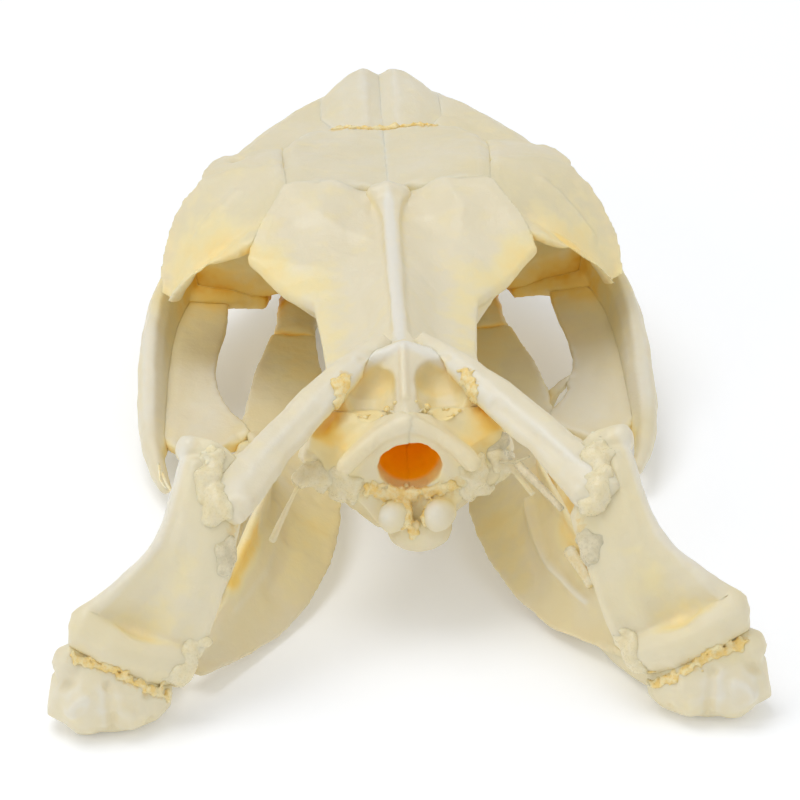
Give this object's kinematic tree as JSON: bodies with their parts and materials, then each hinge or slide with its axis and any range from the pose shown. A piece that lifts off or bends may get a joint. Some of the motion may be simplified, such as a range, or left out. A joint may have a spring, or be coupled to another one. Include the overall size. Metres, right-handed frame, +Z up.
{
  "type": "python skull",
  "caption": "Life-size skull of an adult python with its lower jaws in place, built bone by bone, resting on the feet and lower edges of its jaws.",
  "frame": {"origin": "centre of the bounding box in X and Y, on the floor the jaws lie on", "axes": "+Y forward to the snout, +X to the animal's right, +Z up"},
  "size_m": [0.0776, 0.1182, 0.031],
  "materials": {
    "ivory_bone": null,
    "pale_bone": null,
    "cream_bone": null,
    "jaw_bone": null
  },
  "bodies": {
    "root": {"supraoccipital": "pale_bone", "exoccipital_right": "cream_bone", "exoccipital_left": "cream_bone", "prootic_right": "cream_bone", "prootic_left": "cream_bone", "basioccipital": "cream_bone", "parietal": "pale_bone", "basisphenoid": "cream_bone", "supratemporal_right": "pale_bone", "supratemporal_left": "pale_bone", "frontal_right": "ivory_bone", "frontal_left": "ivory_bone", "nasal_right": "ivory_bone", "nasal_left": "ivory_bone", "maxilla_right": "ivory_bone", "maxilla_left": "ivory_bone", "prefrontal_right": "ivory_bone", "prefrontal_left": "ivory_bone", "postorbital_right": "ivory_bone", "postorbital_left": "ivory_bone", "supraorbital_right": "ivory_bone", "supraorbital_left": "ivory_bone", "ectopterygoid_right": "cream_bone", "ectopterygoid_left": "cream_bone", "pterygoid_right": "cream_bone", "pterygoid_left": "cream_bone", "palatine_right": "cream_bone", "palatine_left": "cream_bone", "vomer_right": "cream_bone", "vomer_left": "cream_bone", "septomaxilla_right": "cream_bone", "septomaxilla_left": "cream_bone", "premaxilla": "ivory_bone", "quadrate_right": "jaw_bone", "quadrate_left": "jaw_bone", "compound_bone_right": "jaw_bone", "compound_bone_left": "jaw_bone", "dentary_right": "jaw_bone", "dentary_left": "jaw_bone", "columella_right": "jaw_bone", "columella_left": "jaw_bone"}
  },
  "joints": []
}
